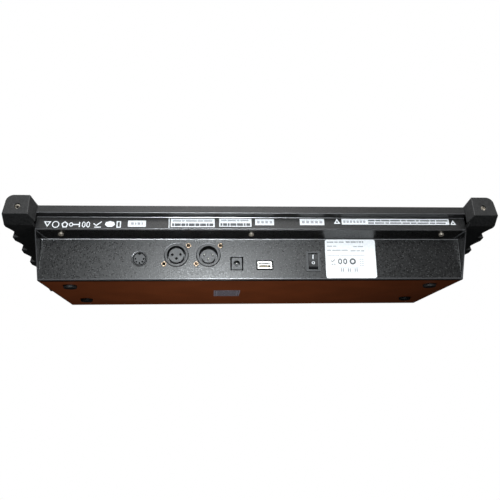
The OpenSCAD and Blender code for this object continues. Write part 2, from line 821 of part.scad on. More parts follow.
module base_label() {
    color([0.6, 0.6, 0.6]) desk() translate([base_label_x, base_label_y, -label_t])
        linear_extrude(label_t) rounded(base_label_w, base_label_d, label_r / 2);
}

// ---------- boards ----------

module control_board() {
    color([0.05, 0.3, 0.15]) sloped() difference() {
        translate([-board_w / 2, board_front_q, board_n - board_t])
            cube([board_w, board_rear_q - board_front_q, board_t]);
        for (x = wheel_x) {
            block(x, wheel_q, board_n - board_t - 1, [wheel_w + 2, 2 * wheel_r + 2, board_t + 2]);
            block(x, wheel_q, board_n - board_t - 1, [shaft_l + 2, 2 * shaft_r + 1, board_t + 2]);
        }
        for (x = standoff_x, q = standoff_q) translate([x, q, board_n - board_t - 1])
            cylinder(r = screw_r + seat_gap, h = board_t + 2, $fn = 24);
    }
}

function connector_posts() = [for (x = [connector_x[0] + 4, connector_x[1] - 4])
                              for (y = [connector_front_y + 4, -27]) [x, y]];

module connector_board() {
    color([0.05, 0.3, 0.15]) desk() difference() {
        translate([connector_x[0], connector_front_y, connector_low_z])
            cube([connector_x[1] - connector_x[0], connector_rear_y - connector_front_y, board_t]);
        for (at = connector_posts()) translate([at[0], at[1], connector_low_z - 1])
            cylinder(r = screw_r + seat_gap, h = board_t + 2, $fn = 24);
    }
}

module ribbon_cable() {
    control_low_z = at_slope((ribbon_y + board_n * sin(slope)) / cos(slope), board_n - board_t)[1];
    header_low = connector_z;
    start_z = header_low + header_h;
    end_z = control_low_z - header_h - 1;
    half = (end_z - start_z) / 2;
    bow_r = 1.25 * half;
    centre_y = ribbon_y + sqrt(bow_r * bow_r - half * half);
    color([0.6, 0.62, 0.65]) desk() across(ribbon_x - ribbon_w / 2, ribbon_w) {
        intersection() {
            difference() {
                translate([centre_y, start_z + half]) circle(r = bow_r + ribbon_t / 2);
                translate([centre_y, start_z + half]) circle(r = bow_r - ribbon_t / 2);
            }
            translate([ribbon_y - bow_r, start_z]) square([bow_r + 2, 2 * half]);
        }
        translate([ribbon_y - 2.5, header_low]) square([5, header_h]);
        translate([ribbon_y - 2.5, end_z]) square([5, header_h]);
    }
}

module standoffs() {
    color([0.8, 0.75, 0.55]) {
        sloped() for (x = standoff_x, q = standoff_q) difference() {
            translate([x, q, board_n]) cylinder(r = standoff_r, h = board_gap);
            translate([x, q, board_n - 1]) cylinder(r = screw_r + shaft_gap, h = screw_bore_l + 1, $fn = 24);
        }
        desk() for (at = connector_posts()) difference() {
            translate([at[0], at[1], sheet_t]) cylinder(r = standoff_r, h = connector_low_z - sheet_t);
            translate([at[0], at[1], connector_low_z - screw_bore_l + 1])
                cylinder(r = screw_r + shaft_gap, h = screw_bore_l, $fn = 24);
        }
    }
}

module board_screws() {
    color([0.75, 0.75, 0.75]) {
        sloped() for (x = standoff_x, q = standoff_q)
            translate([x, q, board_n - board_t]) screw(board_screw_l);
        desk() for (at = connector_posts())
            translate([at[0], at[1], connector_z]) rotate([180, 0, 0]) screw(board_screw_l);
    }
}

// ---------- controls ----------

module fader_body(x) {
    length = fader_travel + 2 * fader_body_end;
    inner_l = fader_travel + carriage_l + 2;
    mid_q = fader_rest_q + fader_travel / 2;
    difference() {
        block(x, mid_q, board_n, [fader_body_w, length, fader_body_h]);
        block(x, mid_q, carriage_n - move_gap, [carriage_w + 2 * move_gap, inner_l, carriage_h + 2 * move_gap]);
        block(x, mid_q, carriage_n, [slot_w, fader_travel + 2 * slot_end, fader_body_h]);
    }
}

module fader_bodies() {
    color([0.55, 0.57, 0.58]) sloped() for (x = concat(fader_x, timer_x)) fader_body(x);
}

module fader(x) {
    grip_r = 14;
    sloped() translate([x, fader_rest_q, 0]) {
        difference() {
            across(-knob_w / 2, knob_w)
                polygon([[-knob_l / 2, knob_n], [knob_l / 2, knob_n], [knob_l / 2 - 2, knob_n + knob_h],
                         [2 - knob_l / 2, knob_n + knob_h]]);
            across(-knob_w, 2 * knob_w)
                translate([0, knob_n + knob_h + grip_r - 3]) circle(r = grip_r);
        }
        block(0, 0, carriage_n + 1, [stem_w, stem_l, knob_n + 1 - carriage_n - 1]);
        block(0, 0, carriage_n, [carriage_w, carriage_l, carriage_h]);
    }
}

module channel_fader(i) {
    color([0.75, 0.75, 0.75]) fader(fader_x[i]);
}

module speed_fader() {
    color([0.75, 0.75, 0.75]) fader(timer_x[0]);
}

module fade_fader() {
    color([0.75, 0.75, 0.75]) fader(timer_x[1]);
}

module key_switches() {
    color([0.15, 0.15, 0.16]) sloped() for (at = button_at)
        block(at[0], at[1], board_n, [switch_body, switch_body, switch_h]);
}

module button(at) {
    flange_n = under_n - move_gap - key_flange_h;
    stem_low = board_n + switch_h + key_travel + 0.3;
    sloped() {
        block(at[0], at[1], flange_n + 0.5, [key_w, key_l, top_n + key_h - flange_n - 0.5]);
        block(at[0], at[1], flange_n, [key_w + 2 * (move_gap + key_flange),
                                       key_l + 2 * (move_gap + key_flange), key_flange_h]);
        translate([at[0], at[1], stem_low]) cylinder(r = key_stem_r, h = flange_n - stem_low + 0.5);
    }
}

module scene_button(i) {
    color([0.45, 0.46, 0.48]) button([fader_x[i], scene_q]);
}

module function_button(i) {
    color([0.45, 0.46, 0.48]) button(function_at[i]);
}

module indicator_lamps() {
    color([0.7, 0.1, 0.08]) sloped() for (at = button_at)
        translate([at[0], at[1] + lamp_offset, board_n]) {
            cylinder(r = lamp_r, h = top_n - board_n + 0.4, $fn = 24);
            translate([0, 0, top_n - board_n + 0.4]) sphere(r = lamp_r, $fn = 24);
        }
}

module display_module() {
    color([0.1, 0.12, 0.1]) sloped()
        block(window_x, window_q, board_n, [window_w + 2 * module_margin, window_l + 2 * module_margin,
                                            board_gap + sheet_t - window_t - 0.1]);
}

module display_window() {
    color([0.05, 0.12, 0.08]) sloped()
        block(window_x, window_q, top_n - window_t,
              [window_w - 2 * seat_gap, window_l - 2 * seat_gap, window_t - 0.1]);
}

module wheel_brackets() {
    arm_h = wheel_n + shaft_r + 2.5 - board_n;
    color([0.2, 0.2, 0.2]) sloped() for (x = wheel_x, side = [-1, 1])
        difference() {
            block(x + side * (wheel_w / 2 + bracket_gap + bracket_t / 2), wheel_q, board_n,
                  [bracket_t, bracket_l, arm_h]);
            translate([x + side * (wheel_w / 2 + bracket_gap) - 5, wheel_q, wheel_n]) rotate([0, 90, 0])
                cylinder(r = shaft_r + shaft_gap, h = 10);
        }
}

module wheel(x) {
    rim = 1;
    sloped() translate([x, wheel_q, wheel_n]) rotate([0, 90, 0]) {
        rotate_extrude() polygon([[0, -wheel_w / 2], [wheel_r - rim, -wheel_w / 2],
                                  [wheel_r, rim - wheel_w / 2], [wheel_r, wheel_w / 2 - rim],
                                  [wheel_r - rim, wheel_w / 2], [0, wheel_w / 2]]);
        translate([0, 0, -shaft_l / 2]) cylinder(r = shaft_r, h = shaft_l);
    }
}

module pan_wheel() {
    color([0.3, 0.31, 0.33]) wheel(wheel_x[0]);
}

module tilt_wheel() {
    color([0.3, 0.31, 0.33]) wheel(wheel_x[1]);
}

// ---------- assembly ----------

base_plate();
chassis();
top_panel();
left_end_cap();
right_end_cap();
feet();
panel_screws();
end_cap_screws();
output_socket_shell();
output_socket_insert();
input_socket_shell();
input_socket_insert();
input_socket_pins();
socket_screws();
midi_socket();
power_inlet();
power_inlet_pin();
lamp_socket_shell();
lamp_socket_tongue();
switch_housing();
power_rocker();
rating_label();
base_label();
control_board();
connector_board();
ribbon_cable();
standoffs();
board_screws();
fader_bodies();
key_switches();
indicator_lamps();
display_module();
display_window();
wheel_brackets();
pan_wheel();
tilt_wheel();
speed_fader();
fade_fader();
for (i = [0:channels - 1]) {
    channel_fader(i);
    scene_button(i);
}
for (i = [0:len(function_names) - 1])
    function_button(i);
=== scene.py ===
"""A stage lighting desk, shown from behind and below, where its sockets and labels are.

Lengths are in millimetres inside the modelling functions and become metres when a piece is
placed. Each piece is modelled flat or upright around its own origin and then moved into place
with one of the frames below, so its object stays at the origin.
"""

import math

import bmesh
import bpy
from mathutils import Matrix, Vector


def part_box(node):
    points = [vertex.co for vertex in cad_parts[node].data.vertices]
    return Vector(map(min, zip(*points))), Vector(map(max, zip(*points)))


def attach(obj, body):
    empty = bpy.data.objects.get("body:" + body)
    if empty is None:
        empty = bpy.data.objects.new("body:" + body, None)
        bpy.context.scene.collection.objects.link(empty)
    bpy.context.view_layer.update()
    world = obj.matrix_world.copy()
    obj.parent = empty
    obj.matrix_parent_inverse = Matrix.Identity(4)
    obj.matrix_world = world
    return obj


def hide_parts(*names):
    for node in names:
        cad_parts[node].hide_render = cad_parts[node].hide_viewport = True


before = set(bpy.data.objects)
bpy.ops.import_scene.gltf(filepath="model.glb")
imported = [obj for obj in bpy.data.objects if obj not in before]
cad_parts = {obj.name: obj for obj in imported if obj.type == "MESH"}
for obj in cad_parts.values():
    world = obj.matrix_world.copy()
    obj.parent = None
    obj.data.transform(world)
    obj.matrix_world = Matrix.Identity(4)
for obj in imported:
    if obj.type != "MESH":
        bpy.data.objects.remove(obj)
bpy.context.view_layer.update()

MM = 0.001

# ---------- frames of the desk ----------
# DESK has its origin under the rear panel's outer face, on the base; SLOPED has it on the rear
# panel's top edge, with Y up the slope of the control panel. X is to the operator's right in both.

SLOPE = math.radians(10.3)
REAR_PANEL_H = 44.0
OVERHANG = 20.4
TOP_LEVEL = 22.9

rear_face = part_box("rating_label")[0].y
base_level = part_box("base_plate")[0].z


def shift(x, y, z):
    """A move of so many millimetres."""
    return Matrix.Translation((x * MM, y * MM, z * MM))


# Columns of these two are the reader's right, the reader's up and the way out of the surface.
READ_FROM_BEHIND = Matrix(((-1, 0, 0, 0), (0, 0, 1, 0), (0, 1, 0, 0), (0, 0, 0, 1)))
READ_FROM_BELOW = Matrix(((-1, 0, 0, 0), (0, 1, 0, 0), (0, 0, -1, 0), (0, 0, 0, 1)))

DESK = Matrix.Translation((0, rear_face, base_level))
SLOPED = DESK @ shift(0, 0, REAR_PANEL_H) @ Matrix.Rotation(SLOPE, 4, "X")
REAR = DESK @ READ_FROM_BEHIND
STRIP = SLOPED @ shift(0, OVERHANG, 0) @ READ_FROM_BEHIND
UNDERSIDE = DESK @ READ_FROM_BELOW
PANEL = SLOPED @ shift(0, 0, TOP_LEVEL)

# ---------- camera, lamps and floor ----------

WHITE = (1.0, 1.0, 1.0)
COOL_WHITE = (0.92, 0.97, 1.0)

# The surround's light on the desk, from below and from above, and where it changes
SKY_LOW = 0.006
SKY_HIGH = 0.9
SKY_RISE = (0.15, 0.75)

FLOOR_WIDTH = 8.0

SENSOR_WIDTH = 36.0
FOCAL_LENGTH = 42.64


def add_camera():
    """A camera behind the desk and below it, a little to one side."""
    eye = Vector((0.04548, 0.66077, -0.11529))
    right = Vector((-0.99782, 0.06395, -0.01609))
    forward = Vector((-0.06594, -0.96768, 0.24340))
    up = right.cross(forward)
    lens = bpy.data.cameras.new("desk_camera")
    lens.sensor_width = SENSOR_WIDTH
    lens.lens = FOCAL_LENGTH
    lens.clip_start = 0.01
    camera = bpy.data.objects.new("desk_camera", lens)
    turn = Matrix((right, up, -forward)).transposed().to_4x4()
    camera.matrix_world = Matrix.Translation(eye) @ turn
    bpy.context.scene.collection.objects.link(camera)
    bpy.context.scene.camera = camera


def add_lamp(name, place, target, size, watts, colour=WHITE):
    """A round lamp of so many metres across, aimed at a target."""
    light = bpy.data.lights.new(name, "AREA")
    light.shape = "DISK"
    light.size = size
    light.energy = watts
    light.color = colour
    lamp = bpy.data.objects.new(name, light)
    lamp.location = place
    lamp.rotation_euler = (Vector(target) - Vector(place)).to_track_quat("-Z", "Y").to_euler()
    bpy.context.scene.collection.objects.link(lamp)


# The sockets of Blender's Map Range node, in the order low, high, new low, new high
RANGE_SOCKETS = ("From Min", "From Max", "To Min", "To Max")


def light_studio():
    """A white surround for the eye, which gives the desk itself only a dim even light."""
    world = bpy.data.worlds.new("studio")
    bpy.context.scene.world = world
    world.use_nodes = True
    tree = world.node_tree
    tree.nodes.clear()
    seen = tree.nodes.new("ShaderNodeBackground")
    seen.inputs["Strength"].default_value = 1.0
    seen.inputs["Color"].default_value = (*WHITE, 1.0)
    dim = tree.nodes.new("ShaderNodeBackground")
    dim.inputs["Color"].default_value = (*WHITE, 1.0)
    way = tree.nodes.new("ShaderNodeTexCoord")
    split = tree.nodes.new("ShaderNodeSeparateXYZ")
    tree.links.new(way.outputs["Generated"], split.inputs["Vector"])
    height = tree.nodes.new("ShaderNodeMapRange")
    for key, number in zip(RANGE_SOCKETS, SKY_RISE + (SKY_LOW, SKY_HIGH)):
        height.inputs[key].default_value = number
    tree.links.new(split.outputs["Z"], height.inputs["Value"])
    tree.links.new(height.outputs["Result"], dim.inputs["Strength"])
    path = tree.nodes.new("ShaderNodeLightPath")
    mix = tree.nodes.new("ShaderNodeMixShader")
    out = tree.nodes.new("ShaderNodeOutputWorld")
    tree.links.new(path.outputs["Is Camera Ray"], mix.inputs["Fac"])
    tree.links.new(dim.outputs["Background"], mix.inputs[1])
    tree.links.new(seen.outputs["Background"], mix.inputs[2])
    tree.links.new(mix.outputs["Shader"], out.inputs["Surface"])
    bpy.context.scene.view_settings.view_transform = "Standard"
    add_lamp("front_lamp", (0.045, 0.90, 0.05), (0.02, 0.06, 0.03), 0.10, 7.8, COOL_WHITE)
    add_lamp("soft_lamp", (0.05, 1.0, 0.72), (0.0, 0.0, 0.05), 0.6, 3.4)
    add_lamp("low_lamp", (0.05, 0.04, -0.28), (0.03, -0.02, 0.0), 0.12, 0.21)
    add_lamp("desk_lamp", (0.2, -0.9, 1.1), (0.0, 0.0, 0.05), 1.0, 16.0)


def add_floor():
    """A pale floor that is solid from above and clear from below."""
    bpy.ops.object.select_all(action="DESELECT")
    bpy.ops.mesh.primitive_plane_add(size=FLOOR_WIDTH, location=(0, 0, 0))
    floor = bpy.context.object
    floor.name = "floor"
    material = bpy.data.materials.new("Pale floor")
    material.use_nodes = True
    tree = material.node_tree
    paint = tree.nodes["Principled BSDF"]
    paint.inputs["Base Color"].default_value = (0.82, 0.82, 0.81, 1.0)
    paint.inputs["Roughness"].default_value = 0.7
    clear = tree.nodes.new("ShaderNodeBsdfTransparent")
    side = tree.nodes.new("ShaderNodeNewGeometry")
    mix = tree.nodes.new("ShaderNodeMixShader")
    tree.links.new(side.outputs["Backfacing"], mix.inputs["Fac"])
    tree.links.new(paint.outputs["BSDF"], mix.inputs[1])
    tree.links.new(clear.outputs["BSDF"], mix.inputs[2])
    tree.links.new(mix.outputs["Shader"], tree.nodes["Material Output"].inputs["Surface"])
    floor.data.materials.append(material)
    floor.visible_shadow = False
    floor.visible_diffuse = False
    floor.visible_glossy = False


add_camera()
light_studio()
add_floor()

# ---------- finishes ----------

COAT_ROUGHNESS = 0.12

# Size in mm of the patches where a colour drifts, and how dark they are beside it
PATCH_SIZE = 45.0
PATCH_SHADE = 0.45

# A sheet's bend is where its surface faces rearward and a little down, between these shares of its normal.
# There a painted highlight of lighter metallic grey is laid on, which keeps only this share of the paint's
# relief.
BEND_REARWARD = (0.60, 0.75)
BEND_DOWNWARD = (-0.04, -0.10)
BEND_RELIEF = 0.15

# Places of the colour sockets among those of Blender's Mix node
COLOUR_MIX_INPUTS = (0, 6, 7)
COLOUR_MIX_OUTPUT = 2


def finish(name, dark, light, grain, rough, spread=0.08, bump=0.0, metallic=0.0, coat=0.0,
           flecks=None, patches=0.0, stretch=(1, 1, 1), gloss_grain=2.3, bend_highlight=None):
    """A finish whose colour, gloss and relief vary with a grain of so many millimetres.

    flecks is (spacing in mm, share of the spacing that a fleck fills, colour). patches is how
    strongly the colour drifts over areas of a few centimetres. bump is the relief in mm.
    gloss_grain is the size of the gloss's grain over that of the colour's. bend_highlight is the colour,
    roughness and metallic share of the painted highlight where the sheet turns under at the rear.
    """
    material = bpy.data.materials.new(name)
    material.use_nodes = True
    nodes = material.node_tree.nodes
    link = material.node_tree.links.new
    paint = nodes["Principled BSDF"]
    paint.inputs["Metallic"].default_value = metallic
    if coat:
        paint.inputs["Coat Weight"].default_value = coat
        paint.inputs["Coat Roughness"].default_value = COAT_ROUGHNESS
    place = nodes.new("ShaderNodeTexCoord")
    turn = nodes.new("ShaderNodeMapping")
    turn.inputs["Scale"].default_value = stretch
    link(place.outputs["Object"], turn.inputs["Vector"])

    def noise(size, detail=2.0):
        """A noise whose grain is so many millimetres."""
        node = nodes.new("ShaderNodeTexNoise")
        node.inputs["Scale"].default_value = 1.0 / (size * MM)
        node.inputs["Detail"].default_value = detail
        link(turn.outputs["Vector"], node.inputs["Vector"])
        return node.outputs["Fac"]

    def mixed(factor, first, second):
        """A colour between two, each of them a socket or a fixed colour."""
        node = nodes.new("ShaderNodeMix")
        node.data_type = "RGBA"
        factor_in, first_in, second_in = (node.inputs[index] for index in COLOUR_MIX_INPUTS)
        link(factor, factor_in)
        for socket, value in ((first_in, first), (second_in, second)):
            if isinstance(value, tuple):
                socket.default_value = (*value, 1.0)
            else:
                link(value, socket)
        return node.outputs[COLOUR_MIX_OUTPUT]

    def ranged(value, low, high, new_low, new_high):
        """A number moved from one range to another."""
        node = nodes.new("ShaderNodeMapRange")
        link(value, node.inputs["Value"])
        for key, number in zip(RANGE_SOCKETS, (low, high, new_low, new_high)):
            node.inputs[key].default_value = number
        return node.outputs["Result"]

    def mixed_number(factor, value, other):
        """A number between a socket's and a fixed one."""
        node = nodes.new("ShaderNodeMix")
        link(factor, node.inputs["Factor"])
        link(value, node.inputs["A"])
        node.inputs["B"].default_value = other
        return node.outputs["Result"]

    grain_fac = noise(grain)
    colour = mixed(ranged(grain_fac, 0.35, 0.65, 0.0, 1.0), dark, light)
    if patches:
        drift = noise(PATCH_SIZE, 3.0)
        colour = mixed(ranged(drift, 0.35, 0.65, 0.0, patches), colour,
                       tuple(PATCH_SHADE * part for part in dark))
    if flecks:
        spacing, share, fleck_colour = flecks
        cells = nodes.new("ShaderNodeTexVoronoi")
        cells.inputs["Scale"].default_value = 1.0 / (spacing * MM)
        link(turn.outputs["Vector"], cells.inputs["Vector"])
        colour = mixed(ranged(cells.outputs["Distance"], share * 0.6, share, 1.0, 0.0), colour, fleck_colour)
    gloss = ranged(noise(grain * gloss_grain), 0.3, 0.7, max(rough - spread, 0.03), min(rough + spread, 1.0))
    on_bend = None
    # Painted highlight: a lighter metallic grey where the surface faces rearward and a little down
    if bend_highlight:
        bend_highlight_colour, bend_rough, bend_metal = bend_highlight
        side = nodes.new("ShaderNodeNewGeometry")
        split = nodes.new("ShaderNodeSeparateXYZ")
        link(side.outputs["True Normal"], split.inputs["Vector"])
        both = nodes.new("ShaderNodeMath")
        both.operation = "MULTIPLY"
        link(ranged(split.outputs["Y"], *BEND_REARWARD, 0.0, 1.0), both.inputs[0])
        link(ranged(split.outputs["Z"], *BEND_DOWNWARD, 0.0, 1.0), both.inputs[1])
        on_bend = both.outputs["Value"]
        colour = mixed(on_bend, colour, bend_highlight_colour)
        gloss = mixed_number(on_bend, gloss, bend_rough)
        link(ranged(on_bend, 0.0, 1.0, metallic, bend_metal), paint.inputs["Metallic"])
    link(colour, paint.inputs["Base Color"])
    link(gloss, paint.inputs["Roughness"])
    if bump:
        relief = nodes.new("ShaderNodeBump")
        relief.inputs["Strength"].default_value = 1.0
        if on_bend:
            link(ranged(on_bend, 0.0, 1.0, 1.0, BEND_RELIEF), relief.inputs["Strength"])
        relief.inputs["Distance"].default_value = bump * MM
        link(grain_fac, relief.inputs["Height"])
        link(relief.outputs["Normal"], paint.inputs["Normal"])
    return material


def tinted_glass():
    """The display window: dark green and half clear."""
    material = finish("Tinted window", (0.02, 0.05, 0.03), (0.03, 0.06, 0.04), 20.0, 0.06, 0.02)
    paint = material.node_tree.nodes["Principled BSDF"]
    paint.inputs["Transmission Weight"].default_value = 0.7
    return material


# The lighter metallic grey of the sheets' bends is a painted highlight along the folds.
BEND_HIGHLIGHT = ((0.30, 0.30, 0.31), 0.30, 0.85)
CASE_PAINT = finish("Textured black powder coat", (0.001, 0.001, 0.001), (0.010, 0.010, 0.010), 1.1, 0.345,
                    0.11, bump=0.07, flecks=(1.9, 0.22, (0.10, 0.10, 0.10)), gloss_grain=1.2,
                    bend_highlight=BEND_HIGHLIGHT)
PANEL_PAINT = finish("Fine black powder coat", (0.003, 0.003, 0.003), (0.018, 0.018, 0.018), 1.1, 0.39,
                     0.10, bump=0.06, gloss_grain=1.2, bend_highlight=BEND_HIGHLIGHT)
# The base's brown stands in for a wooden table's warm reflection in the base's black paint: a painted
# reflection.
BASE_PAINTED_REFLECTION = finish("Brown base, painted table reflection", (0.37, 0.088, 0.023), (0.44, 0.110, 0.030), 0.7, 0.38,
                    0.05, bump=0.02, patches=0.3)
CAP_PLASTIC = finish("Grained black moulding", (0.004, 0.004, 0.004), (0.018, 0.018, 0.018), 1.4, 0.50,
                     0.10, bump=0.09, gloss_grain=1.2)
RUBBER = finish("Black foot rubber", (0.004, 0.004, 0.004), (0.011, 0.011, 0.011), 1.2, 0.70, 0.1, bump=0.05)
ZINC = finish("Zinc plated screw steel", (0.48, 0.42, 0.34), (0.78, 0.72, 0.62), 0.6, 0.46, 0.1,
              bump=0.01, metallic=0.8)
BRASS = finish("Yellow plated screw steel", (0.26, 0.18, 0.12), (0.48, 0.37, 0.27), 0.6, 0.32, 0.08,
               bump=0.01, metallic=1.0)
SHELL_METAL = finish("Blackened die casting", (0.003, 0.003, 0.003), (0.010, 0.010, 0.010), 0.8, 0.42, 0.08,
                     bump=0.015)
BLACK_PLASTIC = finish("Black nylon", (0.012, 0.013, 0.014), (0.030, 0.032, 0.034), 0.9, 0.42, 0.08,
                       bump=0.02)
CONTACT_METAL = finish("Nickel contact metal", (0.62, 0.60, 0.56), (0.86, 0.84, 0.80), 0.8, 0.40, 0.08,
                       bump=0.008, metallic=0.85, stretch=(1, 0.2, 1))
WHITE_PLASTIC = finish("White nylon", (0.66, 0.66, 0.63), (0.80, 0.80, 0.78), 1.0, 0.45, 0.06, bump=0.01)
SWITCH_PLASTIC = finish("Black switch moulding", (0.010, 0.010, 0.011), (0.024, 0.025, 0.027), 0.6, 0.33,
                        0.06, bump=0.012)
LABEL_PAPER = finish("White label film", (0.80, 0.82, 0.84), (0.90, 0.91, 0.92), 2.0, 0.40, 0.08, bump=0.006)
LABEL_FOIL = finish("Grey foil label", (0.46, 0.42, 0.50), (0.70, 0.64, 0.74), 1.6, 0.42, 0.1,
                    bump=0.01, metallic=0.2)
BOARD_GREEN = finish("Green solder mask", (0.010, 0.10, 0.035), (0.02, 0.16, 0.06), 1.5, 0.30, 0.05,
                     bump=0.01, coat=0.4)
RIBBON = finish("Grey ribbon cable", (0.40, 0.42, 0.45), (0.60, 0.62, 0.65), 1.27, 0.50, 0.05,
                bump=0.05, stretch=(1, 0.05, 0.05))
FADER_STEEL = finish("Bright fader steel", (0.50, 0.51, 0.52), (0.72, 0.73, 0.74), 0.8, 0.32, 0.08,
                     bump=0.01, metallic=1.0, stretch=(1, 0.15, 1))
LAMP_RED = finish("Red lamp lens", (0.45, 0.015, 0.010), (0.62, 0.03, 0.02), 1.0, 0.18, 0.05, coat=0.5)
WINDOW = tinted_glass()
WHEEL_PLASTIC = finish("Dark grey wheel moulding", (0.020, 0.021, 0.023), (0.040, 0.042, 0.045), 0.8, 0.45,
                       0.08, bump=0.03)
KNOB_GREY = finish("Light grey knob moulding", (0.40, 0.41, 0.42), (0.52, 0.53, 0.54), 0.9, 0.42, 0.06,
                   bump=0.02)
KEY_RUBBER = finish("Grey key rubber", (0.16, 0.165, 0.175), (0.23, 0.235, 0.245), 0.8, 0.62, 0.06,
                    bump=0.025)
WHITE_INK = finish("White screen print", (0.62, 0.64, 0.66), (0.86, 0.88, 0.90), 0.9, 0.50, 0.08, bump=0.01)
DARK_INK = finish("Dark screen print", (0.030, 0.032, 0.036), (0.10, 0.105, 0.11), 0.6, 0.50, 0.08)
GREY_INK = finish("Pale grey label print", (0.26, 0.27, 0.29), (0.42, 0.43, 0.45), 0.8, 0.50, 0.06)
# A lighter metallic grey for the beads along the cheeks' seams: a painted highlight.
SEAM_HIGHLIGHT = finish("Seam highlight", (0.05, 0.052, 0.054), (0.26, 0.27, 0.28), 1.4, 0.35, 0.1, bump=0.04,
                    metallic=0.5)
DIGIT_RED = finish("Red digit bar", (0.30, 0.02, 0.015), (0.42, 0.03, 0.02), 1.0, 0.4, 0.05)
GOLD = finish("Gilt contact", (0.70, 0.50, 0.20), (0.86, 0.66, 0.32), 0.6, 0.24, 0.06, bump=0.005,
              metallic=1.0)
# Lighter copies of the moulding's and the casting's finishes, put on rounded edges: painted edge highlights.
CAP_EDGE_HIGHLIGHT = finish("Moulding edge highlight", (0.012, 0.012, 0.012), (0.030, 0.030, 0.030), 0.9, 0.30, 0.06, bump=0.02)
SHELL_EDGE_HIGHLIGHT = finish("Casting edge highlight", (0.08, 0.082, 0.085), (0.16, 0.165, 0.17), 0.8, 0.30, 0.06,
                    bump=0.01)

FINISHES = {
    "base_paint": BASE_PAINTED_REFLECTION, "case_paint": CASE_PAINT, "panel_paint": PANEL_PAINT,
    "cap_plastic": CAP_PLASTIC, "foot_rubber": RUBBER, "screw_steel": ZINC, "screw_brass": BRASS,
    "socket_metal": SHELL_METAL, "black_plastic": BLACK_PLASTIC, "contact_metal": CONTACT_METAL,
    "white_plastic": WHITE_PLASTIC, "switch_plastic": SWITCH_PLASTIC, "label_paper": LABEL_PAPER,
    "label_foil": LABEL_FOIL, "board_green": BOARD_GREEN, "ribbon_grey": RIBBON,
    "fader_steel": FADER_STEEL, "lamp_red": LAMP_RED, "window_tint": WINDOW,
    "wheel_plastic": WHEEL_PLASTIC, "knob_grey": KNOB_GREY, "key_rubber": KEY_RUBBER,
}


def dress_cad_nodes():
    """Gives each CAD node the finish of its material slot."""
    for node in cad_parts.values():
        for slot in node.material_slots:
            slot.material = FINISHES[slot.material.name]


WELD_GAP = 0.01
FLAT_ANGLE = math.radians(0.5)
SHARP_ANGLE = math.radians(35)
# Nodes whose edges are rounded, with the radius and the finish of the rounding where it has its own: a
# lighter copy of the part's finish, painted as an edge highlight
ROUNDED = (("chassis", 0.55, None), ("top_panel", 0.55, None), ("left_end_cap", 0.5, CAP_EDGE_HIGHLIGHT),
           ("right_end_cap", 0.5, CAP_EDGE_HIGHLIGHT), ("socket_screws", 0.8, None), ("end_cap_screws", 0.5, None),
           ("output_socket_shell", 0.4, SHELL_EDGE_HIGHLIGHT), ("input_socket_shell", 0.4, SHELL_EDGE_HIGHLIGHT),
           ("switch_housing", 0.3, SHELL_EDGE_HIGHLIGHT), ("midi_socket", 0.15, None),
           ("power_inlet", 0.25, SHELL_EDGE_HIGHLIGHT))


def round_edges(name, radius, edge_highlight_finish):
    """Rounds a CAD node's sharp edges, which may take a lighter finish of their own as a painted edge
    highlight.
    """
    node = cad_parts[name]
    weld = node.modifiers.new("weld", "WELD")
    weld.merge_threshold = WELD_GAP * MM
    flat = node.modifiers.new("flat_faces", "DECIMATE")
    flat.decimate_type = "DISSOLVE"
    flat.angle_limit = FLAT_ANGLE
    edge = node.modifiers.new("rounded_edge", "BEVEL")
    edge.width = radius * MM
    edge.segments = 3
    edge.limit_method = "ANGLE"
    edge.angle_limit = SHARP_ANGLE
    edge.use_clamp_overlap = False
    if edge_highlight_finish:
        node.data.materials.append(edge_highlight_finish)
        edge.material = 1


dress_cad_nodes()
for name, radius, edge_highlight_finish in ROUNDED:
    round_edges(name, radius, edge_highlight_finish)

# ---------- modelling ----------

# Thickness of a printed mark, and of the finer marks that stand for words
INK = 0.08
FINE_INK = 0.05


def begin(name):
    """Starts a piece: an empty mesh, open for editing."""
    if bpy.context.object and bpy.context.object.mode != "OBJECT":
        bpy.ops.object.mode_set(mode="OBJECT")
    bpy.ops.object.select_all(action="DESELECT")
    bpy.ops.object.add(type="MESH", location=(0, 0, 0))
    piece = bpy.context.object
    piece.name = name
    bpy.ops.object.mode_set(mode="EDIT")
    return piece


def place(piece, matrix, body, slot, material, replaces=None):
    """Closes the piece, moves its mesh into place and hangs it on its body."""
    if piece.mode != "OBJECT":
        bpy.ops.mesh.select_all(action="SELECT")
        bpy.ops.mesh.normals_make_consistent(inside=False)
        bpy.ops.mesh.select_all(action="DESELECT")
        bpy.ops.object.mode_set(mode="OBJECT")
    piece.data.transform(matrix @ Matrix.Scale(MM, 4))
    piece.data.materials.clear()
    piece.data.materials.append(material)
    if replaces:
        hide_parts(replaces)
    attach(piece, body)
    return piece


def bar(x, y, width, height, thick=INK, low=0.0):
    """A flat printed bar, centred at x, y."""
    bpy.ops.mesh.primitive_cube_add(size=1, location=(x, y, low + thick / 2), scale=(width, height, thick))


def outline(sides, x, y, width, height, line=0.0, turn=0.0):
    """A flat shape with so many sides: its outline, or all of it where line is 0."""
    reach = 0.5 / math.cos(math.pi / 4) if sides == 4 else 0.5
    start = math.pi / 4 if sides == 4 else 0.0
    bpy.ops.mesh.primitive_circle_add(vertices=sides, radius=reach, fill_type="NGON",
                                      location=(x, y, 0), rotation=(0, 0, start + turn))
    bpy.ops.transform.resize(value=(width, height, 1), center_override=(x, y, 0))
    if line:
        bpy.ops.mesh.inset(thickness=line, use_even_offset=True)
        bpy.ops.mesh.delete(type="FACE")
    bpy.ops.mesh.select_all(action="DESELECT")


def strokes(rows, height):
    """Straight printed strokes, each given by its middle, its length and its lean in degrees."""
    for x, y, length, lean in rows:
        bpy.ops.mesh.primitive_cube_add(size=1, location=(x, y, INK / 2), scale=(length, height, INK),
                                        rotation=(0, 0, math.radians(lean)))


